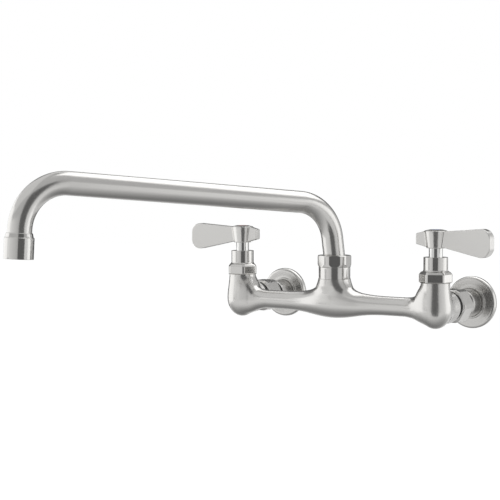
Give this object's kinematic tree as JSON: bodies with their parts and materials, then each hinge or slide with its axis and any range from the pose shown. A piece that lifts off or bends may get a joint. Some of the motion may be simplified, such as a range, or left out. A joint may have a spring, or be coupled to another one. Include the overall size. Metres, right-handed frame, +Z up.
{
  "type": "wall-mounted sink faucet",
  "caption": "Wall-mounted sink faucet: cast cross body with lever valves, a long tube spout that swings and ends in an aerator, and flanged inlets drawn up by hexagon nuts.",
  "frame": {"origin": "on the wall face, midway between the two inlets, on the inlets' common height", "axes": "+X along the wall to the right as a person at the sink sees it, +Y into the wall, +Z up"},
  "size_m": [0.3126, 0.3676, 0.1431],
  "materials": {
    "satin_casting": "satin",
    "satin_tube": "satin",
    "turned_satin": "satin",
    "wrench_bright": "satin",
    "satin_lever": "satin",
    "polished_stem": "polished",
    "screen_steel": "satin",
    "turned_brass": "satin",
    "disc_ceramic": "matte",
    "seal_rubber": "matte",
    "slip_plastic": "matte",
    "aerator_plastic": "matte",
    "hot_index": "gloss",
    "cold_index": "gloss"
  },
  "bodies": {
    "faucet_body": {"cross_body": "satin_casting", "neck_collar": "turned_satin", "spout_nut": "wrench_bright", "slip_ring": "slip_plastic", "left_wall_flange": "turned_satin", "left_inlet_shank": "turned_satin", "left_coupling_nut": "wrench_bright", "left_coupling_washer": "seal_rubber", "left_bonnet": "wrench_bright", "left_cartridge_shell": "turned_brass", "left_seat_seal": "seal_rubber", "left_fixed_disc": "disc_ceramic", "right_wall_flange": "turned_satin", "right_inlet_shank": "turned_satin", "right_coupling_nut": "wrench_bright", "right_coupling_washer": "seal_rubber", "right_bonnet": "wrench_bright", "right_cartridge_shell": "turned_brass", "right_seat_seal": "seal_rubber", "right_fixed_disc": "disc_ceramic"},
    "left_lever": {"left_stem": "polished_stem", "left_stem_rings": "seal_rubber", "left_moving_disc": "disc_ceramic", "left_handle": "satin_lever", "left_handle_screw": "screen_steel", "left_index_cap": "satin_lever", "left_index_disc": "hot_index"},
    "right_lever": {"right_stem": "polished_stem", "right_stem_rings": "seal_rubber", "right_moving_disc": "disc_ceramic", "right_handle": "satin_lever", "right_handle_screw": "screen_steel", "right_index_cap": "satin_lever", "right_index_disc": "cold_index"},
    "spout": {"spout_ferrule": "turned_brass", "spout_rings": "seal_rubber", "spout_tube": "satin_tube", "aerator_housing": "wrench_bright", "aerator_washer": "seal_rubber", "aerator_core": "aerator_plastic", "outlet_screen": "screen_steel"}
  },
  "joints": [
    {"name": "left_valve_turn", "type": "hinge", "parent": "faucet_body", "child": "left_lever", "pos_m": [-0.1016, -0.0785, 0.0486], "axis": [0, 0, 1], "range_deg": [0, 90]},
    {"name": "right_valve_turn", "type": "hinge", "parent": "faucet_body", "child": "right_lever", "pos_m": [0.1016, -0.0785, 0.0486], "axis": [0, 0, 1], "range_deg": [-90, 0]},
    {"name": "spout_swing", "type": "hinge", "parent": "faucet_body", "child": "spout", "pos_m": [0, -0.0785, 0.033], "axis": [0, 0, 1], "range_deg": [-65.44, 114.56]}
  ]
}
